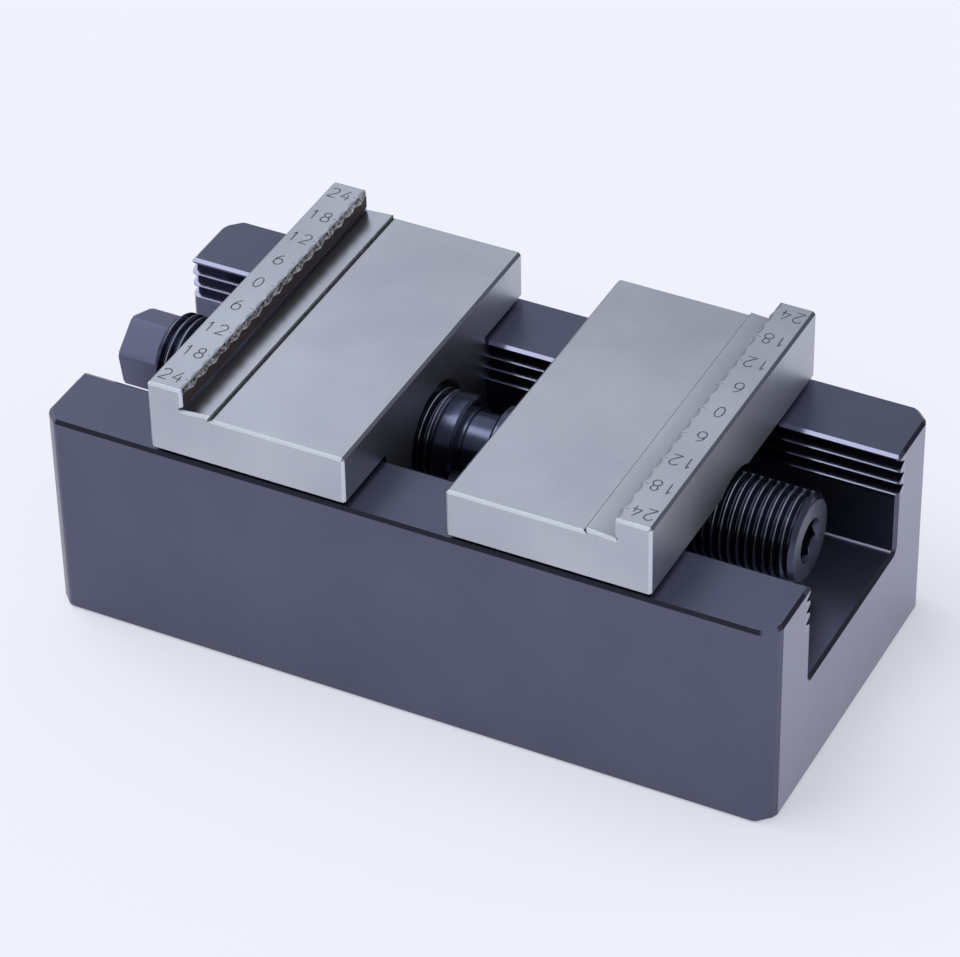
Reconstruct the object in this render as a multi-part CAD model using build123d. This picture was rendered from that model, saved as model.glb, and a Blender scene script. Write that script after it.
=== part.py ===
from build123d import *
import math
import os

# A small self-centering vise, in millimetres. Two toothed jaws ride in V guides
# in a channelled block, and one screw with opposite-hand threads draws both to
# the middle. The origin is the middle of the block's underside. +X runs along
# the screw from its hexagon to its socket, +Y to the back rail, +Z up.

# Block
BLOCK_LENGTH = 110.0
BLOCK_WIDTH = 53.8
BLOCK_HEIGHT = 32.9
BLOCK_CORNER_CUT = 2.2
BLOCK_CORNER_RADIUS = 1.5
BLOCK_CHAMFER = 0.5
BASE_CHAMFER = 0.4
CHANNEL_WIDTH = 30.0
CHANNEL_DEPTH = 16.1
RAIL_CHAMFER_WIDTH = 0.6
CHANNEL_FLOOR_RADIUS = 0.9

# V guides: grooves in the channel's walls, ribs on the carriages
GUIDE_COUNT = 3
GUIDE_PITCH = 2.0
GUIDE_DROP = 0.5
GUIDE_LAND = 0.10
GUIDE_ANGLE = 55.0
GUIDE_FLANK_CLEARANCE = 0.04
GUIDE_SIDE_CLEARANCE = 0.10
GUIDE_TIP_CLEARANCE = 0.20

# Jaws, measured from the outer end of each towards the middle
JAW_LENGTH = 29.8
JAW_INSET = 0.1
JAW_LIFT = 0.4
JAW_SETTING = 37.35
JAW_CHAMFER = 0.4
PLATE_THICKNESS = 7.6
STRIP_HEIGHT = 0.5
STRIP_FALL = 0.3
STRIP_END = 9.6
STRIP_CHAMFER = 0.15
RELIEF_WIDTH = 0.2
RELIEF_DEPTH = 0.15
LIP_HEIGHT = 3.0
LIP_WIDTH = 5.2
LIP_RAKE = 0.12
UNDERCUT_DEPTH = 0.5
UNDERCUT_HEIGHT = 0.45
CARRIAGE_LENGTH = 21.0
CARRIAGE_FLOOR_GAP = 0.4
BORE_CLEARANCE = 0.05
ARCH_CLEARANCE = 1.1
BORE_MOUTH_DEPTH = 3.5

# Teeth under the lip's edge: a pointed one at each number of the scale and a
# blunt one between two of them
TOOTH_PITCH = 6.0
TOOTH_DROP = 0.8
POINTED_REACH = 0.60
POINTED_BEFORE = 1.3
POINTED_AFTER = 1.9
BLUNT_REACH = 0.45
BLUNT_FRONT = (2.6, 3.7)
TOOTH_ROOT = 0.3

# Screw
SCREW_AXIS_DROP = 5.65
SCREW_RADIUS = 6.65
SCREW_END_GAP = 6.6
SCREW_END_CHAMFER = 0.85
HEX_ACROSS_FLATS = 10.0
HEX_TURNED_RADIUS = 5.74
HEX_OVERHANG = 0.4
HEX_LENGTH = 6.0
HEX_CHAMFER = 0.2
HEX_TURN = 40.0
NECK_RADIUS = 4.8
NECK_LENGTH = 4.8
SHOULDER_RADIUS = 5.2
SHOULDER_LENGTH = 0.7
COLLAR_CHAMFER = 0.4
SOCKET_ACROSS_FLATS = 5.0
SOCKET_DEPTH = 6.0
SOCKET_MOUTH_RADIUS = 3.2

# Centre yoke and what fastens it
YOKE_AXIAL_CLEARANCE = 0.1
YOKE_SLOT_CLEARANCE = 0.3
YOKE_WIDTH = 18.0
YOKE_TOP_DROP = 1.0
YOKE_FIT = 0.1
FLANGE_LENGTH = 38.0
FLANGE_WIDTH = 16.0
FLANGE_THICKNESS = 5.0
FLANGE_CORNER_RADIUS = 3.0
FLANGE_RECESS = 0.3
YOKE_SCREW_SPACING = 28.0
YOKE_SCREW_RADIUS = 2.0
YOKE_SCREW_HOLE_RADIUS = 2.25
YOKE_SCREW_HEAD_RADIUS = 4.0
YOKE_SCREW_LENGTH = 12.0
YOKE_SCREW_KEY = 2.5
YOKE_SCREW_KEY_DEPTH = 1.6
DOWEL_RADIUS = 1.5
DOWEL_LENGTH = 9.0
DOWEL_OFFSET = (4.5, 9.0)

# Underside mounting holes
MOUNT_SPACING_X = 80.0
MOUNT_SPACING_Y = 40.0
MOUNT_TAP_RADIUS = 2.5
MOUNT_TAP_DEPTH = 12.0
LOCATOR_SPACING = 80.0
LOCATOR_RADIUS = 3.0
LOCATOR_DEPTH = 8.0
HOLE_CHAMFER = 0.4
DRILL_POINT_ANGLE = 118.0

# Worked out from the sizes above
OVERRUN = 1.0
SAME_PLACE = 0.01
CHANNEL_HALF = CHANNEL_WIDTH / 2
CHANNEL_FLOOR = BLOCK_HEIGHT - CHANNEL_DEPTH
FLANK_SLOPE = math.tan(math.radians(GUIDE_ANGLE / 2))
GUIDE_DEPTH = (GUIDE_PITCH / 2 - GUIDE_LAND) / FLANK_SLOPE
SCREW_Z = BLOCK_HEIGHT - SCREW_AXIS_DROP
JAW_WIDTH = BLOCK_WIDTH - 2 * JAW_INSET
PLATE_BOTTOM = BLOCK_HEIGHT + JAW_LIFT
PLATE_TOP = PLATE_BOTTOM + PLATE_THICKNESS
STRIP_TOP = PLATE_TOP + STRIP_HEIGHT
STRIP_FOOT = STRIP_TOP - STRIP_FALL
LIP_TOP = STRIP_TOP + LIP_HEIGHT
LIP_WALL = LIP_WIDTH + LIP_RAKE
ARCH_RADIUS = SCREW_RADIUS + ARCH_CLEARANCE
SCREW_RIGHT = BLOCK_LENGTH / 2 - SCREW_END_GAP
HEX_LEFT = -BLOCK_LENGTH / 2 - HEX_OVERHANG
SCREW_LEFT = HEX_LEFT + HEX_LENGTH
YOKE_THICKNESS = NECK_LENGTH - 2 * YOKE_AXIAL_CLEARANCE
YOKE_SLOT_RADIUS = SHOULDER_RADIUS + YOKE_SLOT_CLEARANCE
POCKET_DEPTH = FLANGE_THICKNESS + FLANGE_RECESS


def polygon_yz(points):
    """A closed face in the YZ plane from (y, z) points."""
    return Plane.YZ * make_face(Polyline(*points, close=True))


def polygon_xz(points):
    """A closed face in the XZ plane from (x, z) points."""
    return Plane.XZ * make_face(Polyline(*points, close=True))


def along_x(radius, start, end, z=SCREW_Z):
    """A cylinder on the XZ plane of symmetry, from x = start to x = end."""
    return Pos((start + end) / 2, 0, z) * Rot(0, 90, 0) * Cylinder(radius, end - start)


def upward(radius, x, y, bottom, top):
    """A vertical cylinder."""
    return Pos(x, y, (bottom + top) / 2) * Cylinder(radius, top - bottom)


def mirrored_outline(right_side):
    """A closed outline from its +Y half, listed from top to bottom."""
    return right_side + [(-y, z) for y, z in reversed(right_side)]


def guide_points(wall, reach, shift):
    """The zigzag of the V guides on the +Y side, from top to bottom.

    wall is the plane between the Vs, reach the plane at their points, and
    shift how far the flanks stand off from those of the grooves.
    """
    def half_height(y):
        full = GUIDE_PITCH / 2 - GUIDE_LAND / 2
        return full - (y - CHANNEL_HALF) * FLANK_SLOPE - shift * math.hypot(1, FLANK_SLOPE)

    first = BLOCK_HEIGHT - GUIDE_DROP - GUIDE_PITCH / 2
    points = []
    for index in range(GUIDE_COUNT):
        middle = first - index * GUIDE_PITCH
        points.append((wall, middle + half_height(wall)))
        points.append((reach, middle + half_height(reach)))
        points.append((reach, middle - half_height(reach)))
        points.append((wall, middle - half_height(wall)))
    return points


def block_blank():
    """The outer block with its cut corners and broken edges."""
    plan = Rectangle(BLOCK_LENGTH, BLOCK_WIDTH)
    plan = chamfer(plan.vertices(), BLOCK_CORNER_CUT)
    blank = extrude(plan, BLOCK_HEIGHT)
    upright = blank.edges().filter_by(Axis.Z)
    soft = upright.filter_by(lambda edge: abs(edge.center().Y) > BLOCK_WIDTH / 2 - SAME_PLACE)
    blank = fillet(soft, BLOCK_CORNER_RADIUS)
    upright = blank.edges().filter_by(Axis.Z)
    crisp = upright.filter_by(lambda edge: abs(edge.center().X) > BLOCK_LENGTH / 2 - SAME_PLACE)
    blank = chamfer(crisp, BLOCK_CHAMFER)
    blank = chamfer(blank.faces().sort_by(Axis.Z)[-1].edges(), BLOCK_CHAMFER)
    return chamfer(blank.faces().sort_by(Axis.Z)[0].edges(), BASE_CHAMFER)


def channel_section(grow):
    """The plain channel's section, larger by grow, open at the top."""
    half = CHANNEL_HALF + grow
    floor = CHANNEL_FLOOR - grow
    top = BLOCK_HEIGHT + OVERRUN
    outline = make_face(Polyline((-half, floor), (half, floor), (half, top), (-half, top), close=True))
    corners = outline.vertices().sort_by(Axis.Y)[:2]
    return fillet(corners, CHANNEL_FLOOR_RADIUS + grow)


def channel_cut():
    """The channel along the whole block, with V grooves and broken edges."""
    run = BLOCK_LENGTH + 2 * OVERRUN
    plain = extrude(Plane.YZ * channel_section(0), run / 2, both=True)
    edge_side = [
        (CHANNEL_HALF + RAIL_CHAMFER_WIDTH + OVERRUN, BLOCK_HEIGHT + OVERRUN * FLANK_SLOPE),
        (CHANNEL_HALF, BLOCK_HEIGHT - RAIL_CHAMFER_WIDTH * FLANK_SLOPE),
    ]
    zigzag = guide_points(CHANNEL_HALF, CHANNEL_HALF + GUIDE_DEPTH, 0)
    grooved = extrude(polygon_yz(mirrored_outline(edge_side + zigzag)), run / 2, both=True)
    cut = plain + grooved
    for side in (-1, 1):
        inner = Plane.YZ.offset(side * (BLOCK_LENGTH / 2 - BLOCK_CHAMFER)) * channel_section(0)
        outer = Plane.YZ.offset(side * (BLOCK_LENGTH / 2 + OVERRUN)) * channel_section(
            BLOCK_CHAMFER + OVERRUN
        )
        cut += loft([inner, outer], ruled=True)
    return cut


def blind_hole(radius, x, y, depth):
    """A drilled hole from the underside, with a pointed end and a broken rim."""
    point = radius / math.tan(math.radians(DRILL_POINT_ANGLE / 2))
    bore = upward(radius, x, y, -OVERRUN, depth)
    tip = Pos(x, y, depth + point / 2) * Cone(radius, 0, point)
    rim = Pos(x, y, HOLE_CHAMFER / 2) * Cone(radius + HOLE_CHAMFER, radius, HOLE_CHAMFER)
    return bore + tip + rim


def base_holes():
    """Four tapped holes and two locating bores in the underside."""
    holes = []
    for side_x in (-1, 1):
        for side_y in (-1, 1):
            x = side_x * MOUNT_SPACING_X / 2
            y = side_y * MOUNT_SPACING_Y / 2
            holes.append(blind_hole(MOUNT_TAP_RADIUS, x, y, MOUNT_TAP_DEPTH))
        holes.append(blind_hole(LOCATOR_RADIUS, side_x * LOCATOR_SPACING / 2, 0, LOCATOR_DEPTH))
    return holes


def yoke_screw_places():
    """The (x, y) of the yoke's two screws."""
    return [(0, side * YOKE_SCREW_SPACING / 2) for side in (-1, 1)]


def dowel_places():
    """The (x, y) of the yoke's two dowels, on opposite corners of its flange."""
    return [(side * DOWEL_OFFSET[0], side * DOWEL_OFFSET[1]) for side in (-1, 1)]


def flange_plan(grow):
    """The yoke flange's outline, larger by grow for its pocket."""
    return RectangleRounded(
        FLANGE_WIDTH + 2 * grow, FLANGE_LENGTH + 2 * grow, FLANGE_CORNER_RADIUS + grow
    )


def yoke_pocket():
    """The recess, window and fastener holes that the yoke needs in the block."""
    pocket = Pos(0, 0, -OVERRUN) * extrude(flange_plan(YOKE_FIT), POCKET_DEPTH + OVERRUN)
    window_plan = SlotOverall(YOKE_WIDTH + 2 * YOKE_FIT, YOKE_THICKNESS + 2 * YOKE_FIT, rotation=90)
    window = extrude(window_plan, CHANNEL_FLOOR + OVERRUN)
    cut = [pocket, window]
    screw_end = FLANGE_RECESS + YOKE_SCREW_LENGTH
    for x, y in yoke_screw_places():
        cut.append(upward(YOKE_SCREW_RADIUS, x, y, 0, screw_end))
    for x, y in dowel_places():
        cut.append(upward(DOWEL_RADIUS, x, y, 0, FLANGE_RECESS + DOWEL_LENGTH))
    return cut


def vise_body():
    """The channelled block."""
    body = block_blank() - channel_cut()
    for cut in base_holes() + yoke_pocket():
        body -= cut
    return body


def jaw_blank():
    """The plate, strip and lip, with broken outer edges, lip at -X."""
    profile = [
        (0, PLATE_BOTTOM),
        (0, LIP_TOP),
        (LIP_WIDTH, LIP_TOP),
        (LIP_WALL, LIP_TOP - TOOTH_DROP),
        (LIP_WALL, STRIP_FOOT),
        (STRIP_END, STRIP_TOP),
        (STRIP_END, PLATE_TOP),
        (JAW_LENGTH, PLATE_TOP),
        (JAW_LENGTH, PLATE_BOTTOM),
    ]
    blank = extrude(polygon_xz(profile), JAW_WIDTH / 2, both=True)
    end = JAW_WIDTH / 2 - SAME_PLACE
    ends = blank.edges().filter_by(lambda edge: abs(edge.center().Y) > end)
    long_edges = blank.edges().filter_by(Axis.Y)
    outer = long_edges.filter_by(lambda edge: not SAME_PLACE < edge.center().X < JAW_LENGTH - SAME_PLACE)
    blank = chamfer(ends + outer, JAW_CHAMFER)
    crest = blank.edges().filter_by(Axis.Y).sort_by_distance((STRIP_END, 0, STRIP_TOP))[0]
    blank = chamfer(crest, STRIP_CHAMFER)
    undercut = Pos(LIP_WALL - UNDERCUT_DEPTH / 2, 0, STRIP_FOOT + UNDERCUT_HEIGHT / 2) * Box(
        UNDERCUT_DEPTH, JAW_WIDTH + OVERRUN, UNDERCUT_HEIGHT
    )
    relief = Pos(STRIP_END + RELIEF_WIDTH / 2, 0, PLATE_TOP) * Box(
        RELIEF_WIDTH, JAW_WIDTH + OVERRUN, 2 * RELIEF_DEPTH
    )
    return blank - undercut - relief


def tooth(root_start, front_start, front_end, root_end, reach):
    """One tooth: a wedge that hangs below the lip's edge and leans out of it.

    Its front runs from front_start to front_end, reach past the lip's edge,
    and falls back to the lip's wall at root_start and root_end. Above, it
    narrows to the front's length at the lip's edge.
    """
    low = LIP_TOP - TOOTH_DROP
    back = LIP_WIDTH - TOOTH_ROOT
    front = LIP_WIDTH + reach
    base = [
        (back, root_start, low),
        (LIP_WALL, root_start, low),
        (front, front_start, low),
        (front, front_end, low),
        (LIP_WALL, root_end, low),
        (back, root_end, low),
    ]
    if front_start == front_end:
        del base[3]
    crest = [
        (back, front_start, LIP_TOP),
        (LIP_WIDTH, front_start, LIP_TOP),
        (LIP_WIDTH, front_end, LIP_TOP),
        (back, front_end, LIP_TOP),
    ]
    return ConvexPolyhedron(base + crest)


def teeth():
    """All teeth of one jaw."""
    reach = math.floor((JAW_WIDTH / 2 - POINTED_AFTER) / TOOTH_PITCH)
    row = []
    for index in range(-reach, reach + 1):
        middle = index * TOOTH_PITCH
        row.append(tooth(middle - POINTED_BEFORE, middle, middle, middle + POINTED_AFTER, POINTED_REACH))
        if index < reach:
            start, end = (middle + place for place in BLUNT_FRONT)
            after = middle + TOOTH_PITCH - POINTED_BEFORE
            row.append(tooth(middle + POINTED_AFTER, start, end, after, BLUNT_REACH))
    return row


def carriage():
    """The block below the plate, with V ribs on both sides, lip end at -X."""
    side = CHANNEL_HALF - GUIDE_SIDE_CLEARANCE
    reach = CHANNEL_HALF + GUIDE_DEPTH - GUIDE_TIP_CLEARANCE
    bottom = CHANNEL_FLOOR + CARRIAGE_FLOOR_GAP
    corner = CHANNEL_FLOOR_RADIUS
    outline = [(side, PLATE_BOTTOM + OVERRUN)]
    outline += guide_points(side, reach, GUIDE_FLANK_CLEARANCE)
    outline += [(side, bottom + corner), (side - corner, bottom)]
    section = polygon_yz(mirrored_outline(outline))
    return Pos(JAW_LENGTH - CARRIAGE_LENGTH, 0, 0) * extrude(section, CARRIAGE_LENGTH)


def jaw():
    """One jaw in its own place: outer end at x = 0, lip at -X."""
    body = jaw_blank() + carriage()
    for one in teeth():
        body += one
    body -= along_x(SCREW_RADIUS + BORE_CLEARANCE, -OVERRUN, JAW_LENGTH + OVERRUN)
    body -= along_x(ARCH_RADIUS, -OVERRUN, JAW_LENGTH - CARRIAGE_LENGTH)
    return body - along_x(ARCH_RADIUS, JAW_LENGTH - BORE_MOUTH_DEPTH, JAW_LENGTH + OVERRUN)


def screw_shank():
    """The turned screw: thread diameters, collars and neck as plain turnings."""
    end_radius = SCREW_RADIUS - SCREW_END_CHAMFER
    half = NECK_LENGTH / 2
    profile = [
        (SCREW_LEFT, 0),
        (SCREW_LEFT, end_radius),
        (SCREW_LEFT + SCREW_END_CHAMFER, SCREW_RADIUS),
        (-half - COLLAR_CHAMFER, SCREW_RADIUS),
        (-half, SCREW_RADIUS - COLLAR_CHAMFER),
        (-half, SHOULDER_RADIUS),
        (-half + SHOULDER_LENGTH, SHOULDER_RADIUS),
        (-half + SHOULDER_LENGTH, NECK_RADIUS),
        (half, NECK_RADIUS),
        (half, SCREW_RADIUS - COLLAR_CHAMFER),
        (half + COLLAR_CHAMFER, SCREW_RADIUS),
        (SCREW_RIGHT - SCREW_END_CHAMFER, SCREW_RADIUS),
        (SCREW_RIGHT, end_radius),
        (SCREW_RIGHT, 0),
    ]
    return Pos(0, 0, SCREW_Z) * revolve(polygon_xz(profile), Axis.X)


def hexagon_prism(across_flats, start, end, turn):
    """A hexagonal prism along the screw's axis, a corner at turn from +Y to +Z."""
    plan = RegularPolygon(across_flats / 2, 6, major_radius=False, rotation=turn)
    return Pos(start, 0, SCREW_Z) * extrude(Plane.YZ * plan, end - start)


def lead_screw():
    """The whole screw with its drive hexagon and its key socket."""
    drive = hexagon_prism(HEX_ACROSS_FLATS, HEX_LEFT, SCREW_LEFT, HEX_TURN)
    turned = along_x(HEX_TURNED_RADIUS, HEX_LEFT, SCREW_LEFT)
    turned = chamfer(turned.edges().sort_by(Axis.X)[0], HEX_CHAMFER)
    socket = hexagon_prism(SOCKET_ACROSS_FLATS, SCREW_RIGHT - SOCKET_DEPTH, SCREW_RIGHT + OVERRUN, HEX_TURN)
    mouth_depth = SOCKET_MOUTH_RADIUS - SOCKET_ACROSS_FLATS / 2
    mouth = Pos(SCREW_RIGHT - mouth_depth / 2, 0, SCREW_Z) * Rot(0, 90, 0) * Cone(
        SOCKET_ACROSS_FLATS / 2, SOCKET_MOUTH_RADIUS, mouth_depth
    )
    return screw_shank() + (drive & turned) - socket - mouth


def yoke_screw_head(radius, x, y):
    """A 90 degree head that starts flush with the flange and ends at radius."""
    height = YOKE_SCREW_HEAD_RADIUS - radius
    return Pos(x, y, FLANGE_RECESS + height / 2) * Cone(YOKE_SCREW_HEAD_RADIUS, radius, height)


def centre_yoke():
    """The fork round the neck, with the flange that seats in the base."""
    top = SCREW_Z - YOKE_TOP_DROP
    flange = Pos(0, 0, FLANGE_RECESS) * extrude(flange_plan(0), FLANGE_THICKNESS)
    post = Pos(0, 0, FLANGE_RECESS) * extrude(
        SlotOverall(YOKE_WIDTH, YOKE_THICKNESS, rotation=90), top - FLANGE_RECESS
    )
    yoke = flange + post - along_x(YOKE_SLOT_RADIUS, -YOKE_THICKNESS, YOKE_THICKNESS)
    for x, y in yoke_screw_places():
        yoke -= upward(YOKE_SCREW_HOLE_RADIUS, x, y, 0, POCKET_DEPTH + OVERRUN)
        yoke -= yoke_screw_head(YOKE_SCREW_HOLE_RADIUS, x, y)
    for x, y in dowel_places():
        yoke -= upward(DOWEL_RADIUS, x, y, 0, POCKET_DEPTH + OVERRUN)
    return yoke


def yoke_screws():
    """Two countersunk screws, each a separate solid."""
    screws = []
    for x, y in yoke_screw_places():
        shank = upward(YOKE_SCREW_RADIUS, x, y, FLANGE_RECESS, FLANGE_RECESS + YOKE_SCREW_LENGTH)
        key = RegularPolygon(YOKE_SCREW_KEY / 2, 6, major_radius=False)
        recess = Pos(x, y, FLANGE_RECESS) * extrude(key, YOKE_SCREW_KEY_DEPTH)
        screws.append(shank + yoke_screw_head(YOKE_SCREW_RADIUS, x, y) - recess)
    return Compound(children=[one.solid() for one in screws])


def yoke_dowels():
    """Two dowels, each a separate solid."""
    top = FLANGE_RECESS + DOWEL_LENGTH
    pins = [upward(DOWEL_RADIUS, x, y, FLANGE_RECESS, top) for x, y in dowel_places()]
    return Compound(children=[pin.solid() for pin in pins])


def main():
    """Writes each node to parts/."""
    left = Pos(-JAW_SETTING, 0, 0) * jaw()
    nodes = {
        "vise_body": vise_body(),
        "left_jaw": left,
        "right_jaw": Rot(0, 0, 180) * left,
        "lead_screw": lead_screw(),
        "centre_yoke": centre_yoke(),
        "yoke_screws": yoke_screws(),
        "yoke_dowels": yoke_dowels(),
    }
    os.makedirs("parts", exist_ok=True)
    for name, shape in nodes.items():
        export_step(shape, f"parts/{name}.step")


if __name__ == "__main__":
    main()
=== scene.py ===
"""The looks of a small self-centering vise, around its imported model.

Each jaw is stood for by a copy of its own mesh with the scale engraved in the
lip, and the screw by one surface that carries both threads. The other pieces
keep their meshes and get their finish here. Every size is in millimetres.
"""

import logging
import math
from collections.abc import Mapping, Sequence
from dataclasses import dataclass, field
from enum import Enum

import bmesh
import bpy
import numpy as np
from mathutils import Matrix, Vector


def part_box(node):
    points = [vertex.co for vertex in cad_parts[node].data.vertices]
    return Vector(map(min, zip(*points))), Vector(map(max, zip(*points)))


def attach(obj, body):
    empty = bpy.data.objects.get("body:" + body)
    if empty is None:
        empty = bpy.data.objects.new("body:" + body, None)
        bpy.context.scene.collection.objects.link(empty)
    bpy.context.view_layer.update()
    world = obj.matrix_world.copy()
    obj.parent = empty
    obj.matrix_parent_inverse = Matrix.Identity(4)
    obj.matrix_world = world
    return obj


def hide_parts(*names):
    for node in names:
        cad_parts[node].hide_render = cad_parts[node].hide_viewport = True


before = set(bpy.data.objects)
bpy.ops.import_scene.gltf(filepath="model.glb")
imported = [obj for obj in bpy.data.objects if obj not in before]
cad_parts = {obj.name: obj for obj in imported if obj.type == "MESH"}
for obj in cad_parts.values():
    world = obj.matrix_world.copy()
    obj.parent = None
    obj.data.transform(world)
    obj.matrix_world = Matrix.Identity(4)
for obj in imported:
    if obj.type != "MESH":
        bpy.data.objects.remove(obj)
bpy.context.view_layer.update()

LOG = logging.getLogger("vise")
MM = 0.001
MERGE_DISTANCE = 2e-4
EDGE_SAMPLES = 6
Array = np.ndarray
Colour = tuple[float, float, float]
Span = tuple[float, float]


class Slot(Enum):
    """The record's material slots."""

    BLACK_OXIDE = "black_oxide_steel"
    GROUND = "ground_steel"
    OILED_SCREW = "oiled_screw_steel"
    FASTENER = "fastener_steel"


class Hand(Enum):
    """Which way a thread winds, as the sign of its advance along +X."""

    LEFT = -1
    RIGHT = 1


class Value:
    """A shader output that takes part in Python expressions."""

    def __init__(self, graph: "Graph", socket: bpy.types.NodeSocket) -> None:
        """Wraps one output socket of a graph."""
        self.graph = graph
        self.socket = socket

    def maths(self, operation: str, *operands: "Value | float", clamp: bool = False) -> "Value":
        """Joins operands with a Math node.

        Args:
            operation: the Math node's operation.
            operands: its inputs, in order.
            clamp: whether the result is held between 0 and 1.
        Returns:
            The node's result.
        """
        settings = {"operation": operation, "use_clamp": clamp}
        return self.graph.node("ShaderNodeMath", settings, dict(enumerate(operands)))

    def __add__(self, other: "Value | float") -> "Value":
        """self + other."""
        return self.maths("ADD", self, other)

    def __radd__(self, other: float) -> "Value":
        """other + self."""
        return self.maths("ADD", other, self)

    def __sub__(self, other: "Value | float") -> "Value":
        """self - other."""
        return self.maths("SUBTRACT", self, other)

    def __rsub__(self, other: float) -> "Value":
        """other - self."""
        return self.maths("SUBTRACT", other, self)

    def __mul__(self, other: "Value | float") -> "Value":
        """self * other."""
        return self.maths("MULTIPLY", self, other)

    def __rmul__(self, other: float) -> "Value":
        """other * self."""
        return self.maths("MULTIPLY", other, self)

    def __pow__(self, other: "Value | float") -> "Value":
        """self to the power of other."""
        return self.maths("POWER", self, other)

    def __abs__(self) -> "Value":
        """The size of self."""
        return self.maths("ABSOLUTE", self)

    def sine(self) -> "Value":
        """The sine of self, in radians."""
        return self.maths("SINE", self)

    def larger(self, other: "Value | float") -> "Value":
        """The larger of self and other."""
        return self.maths("MAXIMUM", self, other)

    def between(self, low: float, high: float) -> "Value":
        """0 below low, 1 above high and a straight line between them."""
        return self.maths("MULTIPLY", self - low, 1 / (high - low), clamp=True)


class Graph:
    """The nodes of one material or of the world."""

    def __init__(self, owner: bpy.types.Material | bpy.types.World) -> None:
        """Empties the owner's nodes and adds its output.

        Args:
            owner: the material or world.
        """
        self.owner = owner
        owner.use_nodes = True
        self.tree = owner.node_tree
        self.tree.nodes.clear()
        kind = "World" if isinstance(owner, bpy.types.World) else "Material"
        self.output = self.tree.nodes.new(f"ShaderNodeOutput{kind}")

    @classmethod
    def material(cls, name: str) -> "Graph":
        """A graph for a new material."""
        return cls(bpy.data.materials.new(name))

    def node(
        self,
        kind: str,
        settings: Mapping[str, object] | None = None,
        inputs: Mapping[str | int, object] | None = None,
        output: str | int = 0,
    ) -> Value:
        """Adds a node.

        Args:
            kind: the node's type.
            settings: its own settings, set before its sockets.
            inputs: a Value to link or a constant to set for each socket.
            output: the output to return.
        Returns:
            That output.
        """
        made = self.tree.nodes.new(kind)
        for name, value in (settings or {}).items():
            setattr(made, name, value)
        for name, value in (inputs or {}).items():
            if isinstance(value, Value):
                self.tree.links.new(value.socket, made.inputs[name])
            else:
                made.inputs[name].default_value = value
        return Value(self, made.outputs[output])

    def coordinates(self, output: str) -> Value:
        """One output of a Texture Coordinate node."""
        return self.node("ShaderNodeTexCoord", output=output)

    def axes(self, vector: Value) -> tuple[Value, Value, Value]:
        """A vector's X, Y and Z."""
        split = self.node("ShaderNodeSeparateXYZ", inputs={0: vector}).socket.node
        return tuple(Value(self, split.outputs[axis]) for axis in range(3))

    def facing(self) -> tuple[Value, Value, Value]:
        """The X, Y and Z of the direction that the surface faces."""
        return self.axes(self.coordinates("Normal"))

    def place(self) -> tuple[Value, Value, Value]:
        """The place on the object, in millimetres."""
        return tuple(axis * (1 / MM) for axis in self.axes(self.coordinates("Object")))

    def noise(self, size: Sequence[float], detail: float = 2.0, roughness: float = 0.5) -> Value:
        """Noise with one size for each axis.

        Args:
            size: the length of one wave along X, Y and Z, in millimetres.
            detail: how many finer layers are added.
            roughness: how strong each finer layer is.
        Returns:
            A value that wanders about 0.5.
        """
        scale = tuple(1 / (length * MM) for length in size)
        placed = self.node("ShaderNodeMapping", inputs={"Vector": self.coordinates("Object"), "Scale": scale})
        inputs = {"Vector": placed, "Scale": 1.0, "Detail": detail, "Roughness": roughness}
        return self.node("ShaderNodeTexNoise", inputs=inputs)

    def mix(self, factor: Value, first: "Colour | Value", second: "Colour | Value") -> Value:
        """Blends two colours.

        Args:
            factor: 0 for the first colour and 1 for the second.
            first: a colour or a link.
            second: a colour or a link.
        Returns:
            The blended colour.
        """
        first, second = (end if isinstance(end, Value) else (*end, 1.0) for end in (first, second))
        return self.node("ShaderNodeMix", {"data_type": "RGBA"}, {0: factor, 6: first, 7: second}, output=2)

    def bump(self, height: Value, depth: float, edge: float = 0.0) -> Value:
        """A normal with relief and worn edges.

        Args:
            height: the relief, from 0 to 1.
            depth: how deep it is, in millimetres.
            edge: the radius to which sharp edges look worn, in millimetres.
        Returns:
            The normal.
        """
        inputs = {"Height": height, "Distance": depth * MM, "Strength": 1.0}
        if edge:
            inputs["Normal"] = self.node("ShaderNodeBevel", {"samples": EDGE_SAMPLES}, {"Radius": edge * MM})
        return self.node("ShaderNodeBump", inputs=inputs)

    def finish(self, **sockets: object) -> bpy.types.Material:
        """Closes the material with a Principled shader.

        Args:
            sockets: its inputs, with spaces in their names as underscores.
        Returns:
            The material.
        """
        inputs = {name.replace("_", " "): value for name, value in sockets.items()}
        shader = self.node("ShaderNodeBsdfPrincipled", inputs=inputs)
        self.tree.links.new(shader.socket, self.output.inputs["Surface"])
        return self.owner


@dataclass(frozen=True)
class Texture:
    """The noises of one steel's material: broad clouds, tool marks and fine grit."""

    graph: Graph
    clouds: Value
    marks: Value
    grit: Value


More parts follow.
